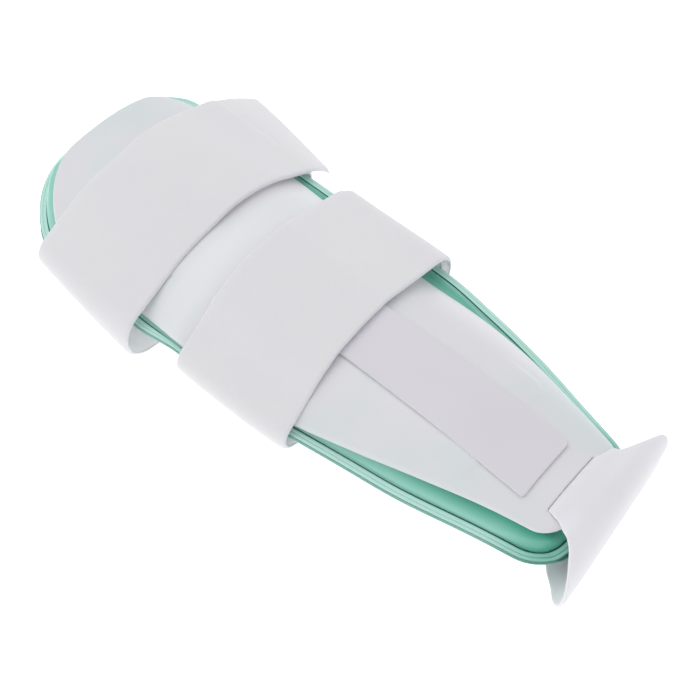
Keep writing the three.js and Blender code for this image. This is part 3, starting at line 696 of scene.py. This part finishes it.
wound = {
    "thickness": 1.5, "gap": 0.3, "restHalf": 16.0, "samples": 360, "stepMm": 0.7, "rim": 1.1,
    "overStrip": 1.65, "climbBefore": 36, "climbRun": 24,  # samples before a full turn, and how many
    "rolled": 0.18, "rolledRun": 3.0, "tuck": 1.2, "tuckTurns": 0.25, "peekAt": 0.25, "peekSpread": 0.16,
    "wave": 0.12, "flapParts": [*np.linspace(0, 1, 22)[1:-3], 0.925, 0.955, 0.975, 0.99, 1.0],
}
calf = {
    "start": 19.5, "width": 55.0, "from": 0.06, "to": 1.215, "askew": -1.3, "peek": 1.2,
    "flap": {"reach": 16.3, "skew": 12.5, "droop": 4.0},
    "folds": {
        "share": [0, 0.5, 1], "leftSlack": [2.3, 4.9, 6.6], "leftRadius": [6, 8.5, 12],
        "leftDrop": [0, 1.5, 4], "rightSlack": [1, 1, 0.4], "rightRadius": [10, 7, 4.5],
    },
}
ankle = {
    "start": 95.0, "width": 52.0, "from": -0.07, "to": 1.33, "askew": -2.5, "peek": 3.0, "flap": None,
    "folds": {
        "share": [0, 1], "leftSlack": [0.7, 2.2], "leftRadius": [6, 7], "leftDrop": [0, 1],
        "rightSlack": [1.1, 0.6], "rightRadius": [8, 12],
    },
}


# How deep the straps' flat runs lie, so that nothing on the shells reaches below them.
def restDepth():
    x = np.linspace(0, shell["length"], 61)
    highest = np.max(shellTop(x, shellMiddle(x)))
    spots = [(ankle["start"], wound["overStrip"]), (ankle["start"] + ankle["width"], wound["overStrip"]),
             (calf["start"] + calf["width"], 0.0)]
    levels = [float(shellTop(np.array(x), np.array(0.0))) + extra for x, extra in spots]
    return max(levels + [float(highest) + wound["overStrip"] - wound["thickness"]])


restAt = restDepth()


# Convex outline, clockwise from the top when seen from the calf end.
def hullOf(points):
    ordered = sorted(map(tuple, points))

    def chain(part):
        out = []
        for p in part:
            while len(out) > 1 and ((out[-1][0] - out[-2][0]) * (p[1] - out[-2][1])
                                    - (out[-1][1] - out[-2][1]) * (p[0] - out[-2][0])) <= 0:
                out.pop()
            out.append(p)
        return out[:-1]

    return np.array((chain(ordered) + chain(ordered[::-1]))[::-1])


# The taut line round the brace at x, evenly spaced from the middle of the top, softened a little.
def strapRing(x, folds, share):
    half, middle = float(shellEdge(x)), float(shellMiddle(x))
    y = middle + half * np.linspace(-1, 1, 49)
    z = shellTop(np.full_like(y, x), y)
    points = [*zip(y, z), *zip(y, -z)]
    if x > calf["start"] + calf["width"]:
        tape = strip["middle"] + strip["half"] * np.array([-1.0, 0.0, 1.0])
        z = shellTop(np.full_like(tape, x), tape) + wound["overStrip"]
        points += [*zip(tape, z), *zip(tape, -z)]
    reach, centre = float(cellEdge(x)), float(cellMiddle(x))
    turn = np.linspace(0, 2 * np.pi, 49)
    fold = {name: float(readTable(folds, name, share)) for name in folds}
    left = centre - reach - fold["leftSlack"] + fold["leftRadius"] * (1 + np.cos(turn))
    right = centre + reach + fold["rightSlack"] + fold["rightRadius"] * (np.cos(turn) - 1)
    points += [*zip(left, fold["leftRadius"] * np.sin(turn) - fold["leftDrop"])]
    points += [*zip(right, fold["rightRadius"] * np.sin(turn))]
    points += [(-wound["restHalf"], -restAt), (wound["restHalf"], -restAt)]
    line = hullOf(points)
    closed = np.concatenate([line, line[:1]])
    run = np.concatenate([[0], np.cumsum(np.hypot(*np.diff(closed, axis=0).T))])
    top = [k for k in range(len(line)) if closed[k][0] <= 0 < closed[k + 1][0] and closed[k][1] > 0][0]
    part = -closed[top][0] / (closed[top + 1][0] - closed[top][0])
    begin = run[top] + part * (run[top + 1] - run[top])
    at = (begin + np.linspace(0, run[-1], wound["samples"], endpoint=False)) % run[-1]
    ring = np.stack([np.interp(at, run, closed[:, k]) for k in (0, 1)], -1)
    for _ in range(6):
        ring = (np.roll(ring, 1, 0) + 2 * ring + np.roll(ring, -1, 0)) / 4
    return ring


# Points on a ring at sample numbers that may be fractions and may go round more than once.
def ringAt(ring, k):
    k = k % len(ring)
    low = np.floor(k).astype(int) % len(ring)
    part = (k - np.floor(k))[:, None]
    return ring[low] * (1 - part) + ring[(low + 1) % len(ring)] * part


# Sample numbers along a strap, close together at its rounded ends.
def strapSamples(strap, first, last):
    rimTurns = wound["rim"] / wound["stepMm"]
    start = first + rimTurns * np.array([0, 0.1, 0.35])
    along = np.concatenate([start, np.arange(first + rimTurns * 0.8, last, 1.0)])
    if strap["flap"]:
        return along
    return np.concatenate([along[:-2], last - rimTurns * np.array([0.8, 0.35, 0.1, 0])])


# The free end: sections from the last wound one out past the flange, drooping a little.
def addFlap(upper, lower, strap, share, line, normalEnd):
    flap = strap["flap"]
    x = strap["start"] + strap["width"] * share
    fromEdge = np.array(min(share, 1 - share) * strap["width"])
    run = line[-1] - line[-12]
    slope = run[1] / run[0]
    edge = float(cellMiddle(x) + cellEdge(x)) + flap["reach"] - flap["skew"] * (share - 0.5)
    reach = edge - lower[-1][1]
    extraTop, extraUnder = [], []
    for part in wound["flapParts"]:
        rim = rounding(fromEdge, wound["rim"]) * rounding(np.array(reach * (1 - part)), wound["rim"])
        spot = lower[-1][1:] + np.array([reach * part, slope * reach * part - flap["droop"] * part**2])
        extraTop.append([lower[-1][0], *(spot + normalEnd * rim * wound["thickness"])])
        extraUnder.append([lower[-1][0], *spot])
    return np.concatenate([upper, extraTop]), np.concatenate([lower, extraUnder])


# One line of a strap, at a share of its width: its outer and inner points all along it.
def strapLine(strap, share, along, first, wander):
    samples, thick = wound["samples"], wound["thickness"]
    x = strap["start"] + strap["width"] * share
    ring = strapRing(x, strap["folds"], share)
    line, before, after = ringAt(ring, along), ringAt(ring, along - 2), ringAt(ring, along + 2)
    run = after - before
    run /= np.linalg.norm(run, axis=1)[:, None]
    normal = np.stack([-run[:, 1], run[:, 0]], -1)
    # The second layer steps up over the first one's end, and lies a little to one side of it.
    climb = smooth((along - (first + samples - wound["climbBefore"])) / wound["climbRun"])
    lift = wound["gap"] + (thick + wound["gap"]) * climb
    aside = strap["askew"] * (line[:, 0] - float(cellMiddle(x))) / float(cellEdge(x))
    aside = aside - strap["peek"] * np.exp(-((along / samples - wound["peekAt"]) / wound["peekSpread"]) ** 2)
    fromEdge = min(share, 1 - share) * strap["width"]
    length = along * wound["stepMm"]
    ends = length - length[0]
    if not strap["flap"]:
        ends = np.minimum(ends, length[-1] - length)
    full = rounding(fromEdge, wound["rim"]) * rounding(ends, wound["rim"])
    # Its edges wander a little, and its middle line hardly.
    waves = np.sin(length / 17 + share * 3) + 0.6 * np.sin(length / 9.3 + share * 7 + 1)
    soft = wound["wave"] * wander * waves * (1 - np.exp(-((share - 0.5) / 0.3) ** 2))
    # The edges are rolled down onto what lies beneath, and the first layer is tucked in at its start.
    sunk = wound["rolled"] * (1 - smooth(fromEdge / wound["rolledRun"]))
    bottom = (lift - sunk)[:, None]
    tuck = wound["tuck"] * (1 - smooth((along - first) / (wound["tuckTurns"] * samples)))
    xs = x + aside + soft + tuck * (1 - 2 * share)
    lower = np.column_stack([xs, line + normal * bottom])
    upper = np.column_stack([xs, line + normal * (bottom + (full * thick + sunk * 0.4)[:, None])])
    if strap["flap"]:
        upper, lower = addFlap(upper, lower, strap, share, line, normal[-1])
    return upper, lower


# A strap wound round the closed brace, a little more than once.
def makeStrap(name, node, strap, wander):
    first, last = strap["from"] * wound["samples"], strap["to"] * wound["samples"]
    along = strapSamples(strap, first, last)
    across = inwards(1.0, wound["rim"] / strap["width"], 30)
    lines = [strapLine(strap, share, along, first, wander) for share in across]
    top = np.stack([upper for upper, lower in lines][::-1], 1)
    under = np.stack([lower for upper, lower in lines][::-1], 1)
    faces = sheetFaces(*top.shape[:2])
    # Outer faces, then inner ones, with three faces of cut foam round the rim of each.
    index = np.zeros((2, top.shape[0] - 1, top.shape[1] - 1), int)
    # Inner faces take the foam backing, whose glow is painted light.
    index[1] = 2
    index[:, :, :3] = index[:, :, -3:] = 1
    index[:, :3] = index[:, -3:] = 1
    slots = [brushedLoop, cutFoam, foamBackingGlow]
    piece = makeObject(name, sheetPoints(top, under), faces, slots, index.ravel())
    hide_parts(node)
    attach(piece, "root")


makeStrap("calfStrapWound", "calf_strap", calf, 1.0)
makeStrap("ankleStrapWound", "ankle_strap", ankle, 0.8)
print("straps done")


# Heel strap

heel = {
    "width": 25.5, "left": 28.5, "right": 38.0, "thickness": 1.3, "reach": 10.7, "skew": 0.097, "tip": 0.6,
    "bowFade": 0.22, "tail": 13.0, "gap": 0.3, "powerX": 0.74, "powerZ": 0.85, "rim": 0.6,
    "spreadLeft": 0.8, "spreadRight": 7.2, "spreadFrom": -1.9, "spreadRun": 3.4,  # just past the slot
}
# How the pad widens from the slot to its outermost line, as shares.
heelTable = {
    "around": [0, 0.1, 0.2, 0.35, 0.5, 0.7, 0.85, 1.0],
    "left": [0, 0.144, 0.23, 0.39, 0.6, 0.806, 0.92, 1.0],
    "leftUnder": [0, 0.2, 0.33, 0.53, 0.75, 0.93, 0.985, 1.0],
    "right": [0, 0.29, 0.52, 0.83, 0.96, 1.0, 1.0, 1.0],
}
# The band's way up through the slot, as shares of the slot's run and of its climb.
slotClimb = {
    "across": [0.03, 0.06, 0.1, 0.17, 0.33, 0.6, 0.8, 1.0],
    "up": [0.1, 0.33, 0.6, 0.83, 0.96, 1.0, 1.0, 1.0],
}


def crownAt(x):
    return float(shellTop(np.array(x), np.array(0.0)))


# The band's middle line seen from the side: under the shell, up through the slot, round and back.
def heelLine():
    half = heel["thickness"] / 2
    slotX = shell["length"] - shell["slotInset"]
    ramp = shell["slotLength"] / 2 - heel["gap"]
    under = shell["wall"] + heel["gap"] + half
    tail = [(x, crownAt(x) - under) for x in np.linspace(slotX - ramp - heel["tail"], slotX - ramp, 12)]
    tailX, tailZ = tail[-1]
    startX, startZ = slotX + ramp, crownAt(slotX + ramp) + heel["gap"] + half
    through = [(tailX + (startX - tailX) * across, tailZ + (startZ - tailZ) * up)
               for across, up in zip(slotClimb["across"], slotClimb["up"])]
    turnX = shell["length"] + heel["reach"] - half
    angle = np.pi / 2 * np.linspace(0, 1, 60)[1:]
    turnLine = np.stack([startX + (turnX - startX) * np.sin(angle) ** heel["powerX"],
                         startZ * np.cos(angle) ** heel["powerZ"]], -1)
    turnLine[-1, 1] = 0
    upperHalf = np.concatenate([tail, through, turnLine])
    line = np.concatenate([upperHalf, (upperHalf[:-1] * [1, -1])[::-1]])
    return line, len(upperHalf) - 1, len(tail) + len(through) - 1


def makeHeelStrap():
    half = heel["thickness"] / 2
    slotX = shell["length"] - shell["slotInset"]
    line, last, slotIndex = heelLine()
    steps = np.arange(len(line))
    run = line[np.minimum(steps + 1, len(line) - 1)] - line[np.maximum(steps - 1, 0)]
    run /= np.linalg.norm(run, axis=1)[:, None]
    normal = np.stack([-run[:, 1], run[:, 0]], -1)
    around = np.clip((last - np.abs(steps - last) - slotIndex) / (last - slotIndex), 0, 1)
    side = np.where(steps <= last, 1.0, -1.0)
    # Once through the slot the pad spreads over the shell, most to its right.
    spread = smooth((line[:, 0] - slotX - heel["spreadFrom"]) / heel["spreadRun"])
    leftShare = np.where(steps <= last, readTable(heelTable, "left", around),
                         readTable(heelTable, "leftUnder", around))
    bandHalf = heel["width"] / 2
    leftMore = heel["left"] - bandHalf - heel["spreadLeft"]
    rightMore = heel["right"] - bandHalf - heel["spreadRight"]
    low = -bandHalf - heel["spreadLeft"] * spread - leftMore * leftShare
    high = bandHalf + heel["spreadRight"] * spread + rightMore * readTable(heelTable, "right", around)
    share = inwards(1.0, heel["rim"] / 34, 40)
    y = low[:, None] + (high - low)[:, None] * share[None, :]
    x = line[:, :1] + 0 * y
    back = around[:, None] * (heel["skew"] * y + heel["tip"] * (2 * share[None, :] - 1) ** 4)
    # Near the slot the band follows the shell's crown across.
    nearX = np.minimum(x, shell["length"])
    nearY = np.clip(y, -bandHalf, bandHalf)
    bow = (shellTop(nearX, nearY) - shellTop(nearX, np.zeros_like(y))) * side[:, None]
    bowed = line[:, 1:] + bow * (1 - smooth(around / heel["bowFade"]))[:, None]
    ends = np.minimum(steps, len(line) - 1 - steps).astype(float)  # about a millimetre a step
    inset = np.minimum(np.minimum(share, 1 - share)[None, :] * (high - low)[:, None], ends[:, None])
    full = rounding(inset, heel["rim"]) * half
    top = np.stack([x - back + normal[:, :1] * full, y, bowed + normal[:, 1:] * full], -1)
    under = np.stack([x - back - normal[:, :1] * full, y, bowed - normal[:, 1:] * full], -1)
    piece = makeObject("heelPadBand", sheetPoints(top, under), sheetFaces(*y.shape), [heelCloth])
    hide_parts("heel_strap")
    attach(piece, "root")


makeHeelStrap()
print("heel strap done")


# Stage: a white floor, a bright even sky, one large soft light above and a weak fill in front.
stage = {
    "floorHalf": 3, "floorGlow": 0.62, "sky": 0.66,
    "softKey": {"place": (-0.4, 0.15, 1.5), "size": 1.9, "power": 8.2, "colour": "#ffffff"},
    "softFill": {"place": (-0.4, -1.0, 0.9), "size": 0.9, "power": 0.8, "colour": "#fbfcff"},
}
floorMesh = bpy.data.meshes.new("paleFloor")
half = stage["floorHalf"]
floorCorners = [(-half, -half, 0), (half, -half, 0), (half, half, 0), (-half, half, 0)]
floorMesh.from_pydata(floorCorners, [], [(0, 1, 2, 3)])
floor = bpy.data.objects.new("paleFloor", floorMesh)
bpy.context.scene.collection.objects.link(floor)
# Matt white board, lit from below as on a light table, so the cut-out's white surround stays white.
floorPaint, tree, shader, place = newMaterial("floorPaint", Roughness=0.9)
shader.inputs["Base Color"].default_value = linear("#f6f6f6")
shader.inputs["Emission Color"].default_value = linear("#ffffff")
shader.inputs["Emission Strength"].default_value = stage["floorGlow"]
floorMesh.materials.append(floorPaint)

world = bpy.data.worlds.new("studio")
bpy.context.scene.world = world
world.use_nodes = True
world.node_tree.nodes["Background"].inputs["Color"].default_value = linear("#fbfcff")
world.node_tree.nodes["Background"].inputs["Strength"].default_value = stage["sky"]


def addLight(name):
    values = stage[name]
    lamp = bpy.data.lights.new(name, "AREA")
    lamp.shape = "DISK"
    lamp.size = values["size"]
    lamp.energy = values["power"]
    lamp.color = linear(values["colour"])[:3]
    holder = bpy.data.objects.new(name, lamp)
    bpy.context.scene.collection.objects.link(holder)
    holder.location = values["place"]
    holder.rotation_euler = (-Vector(values["place"])).to_track_quat("-Z", "Y").to_euler()


addLight("softKey")
addLight("softFill")

# Camera: 42 degrees round from the side view and 57 degrees above the surface, as in the photo.
lens = {
    "mm": 1100 / 700 * 36, "azimuth": math.radians(42), "elevation": math.radians(57), "distance": 0.4085,
    "targetMm": (139.87, -1.48, -1.41),
}
targetRow = (np.array(lens["targetMm"]) + originMm) / 1000
backwards = np.array([
    math.sin(lens["azimuth"]) * math.cos(lens["elevation"]),
    -math.cos(lens["azimuth"]) * math.cos(lens["elevation"]),
    math.sin(lens["elevation"]),
])
camera = bpy.data.objects.new("camera", bpy.data.cameras.new("camera"))
bpy.context.scene.collection.objects.link(camera)
camera.data.lens = lens["mm"]
camera.data.sensor_width = 36
camera.data.clip_start = 0.01
camera.location = targetRow + backwards * lens["distance"]
camera.rotation_euler = Vector(backwards).to_track_quat("Z", "Y").to_euler()
bpy.context.scene.camera = camera
bpy.context.scene.view_settings.view_transform = "Standard"
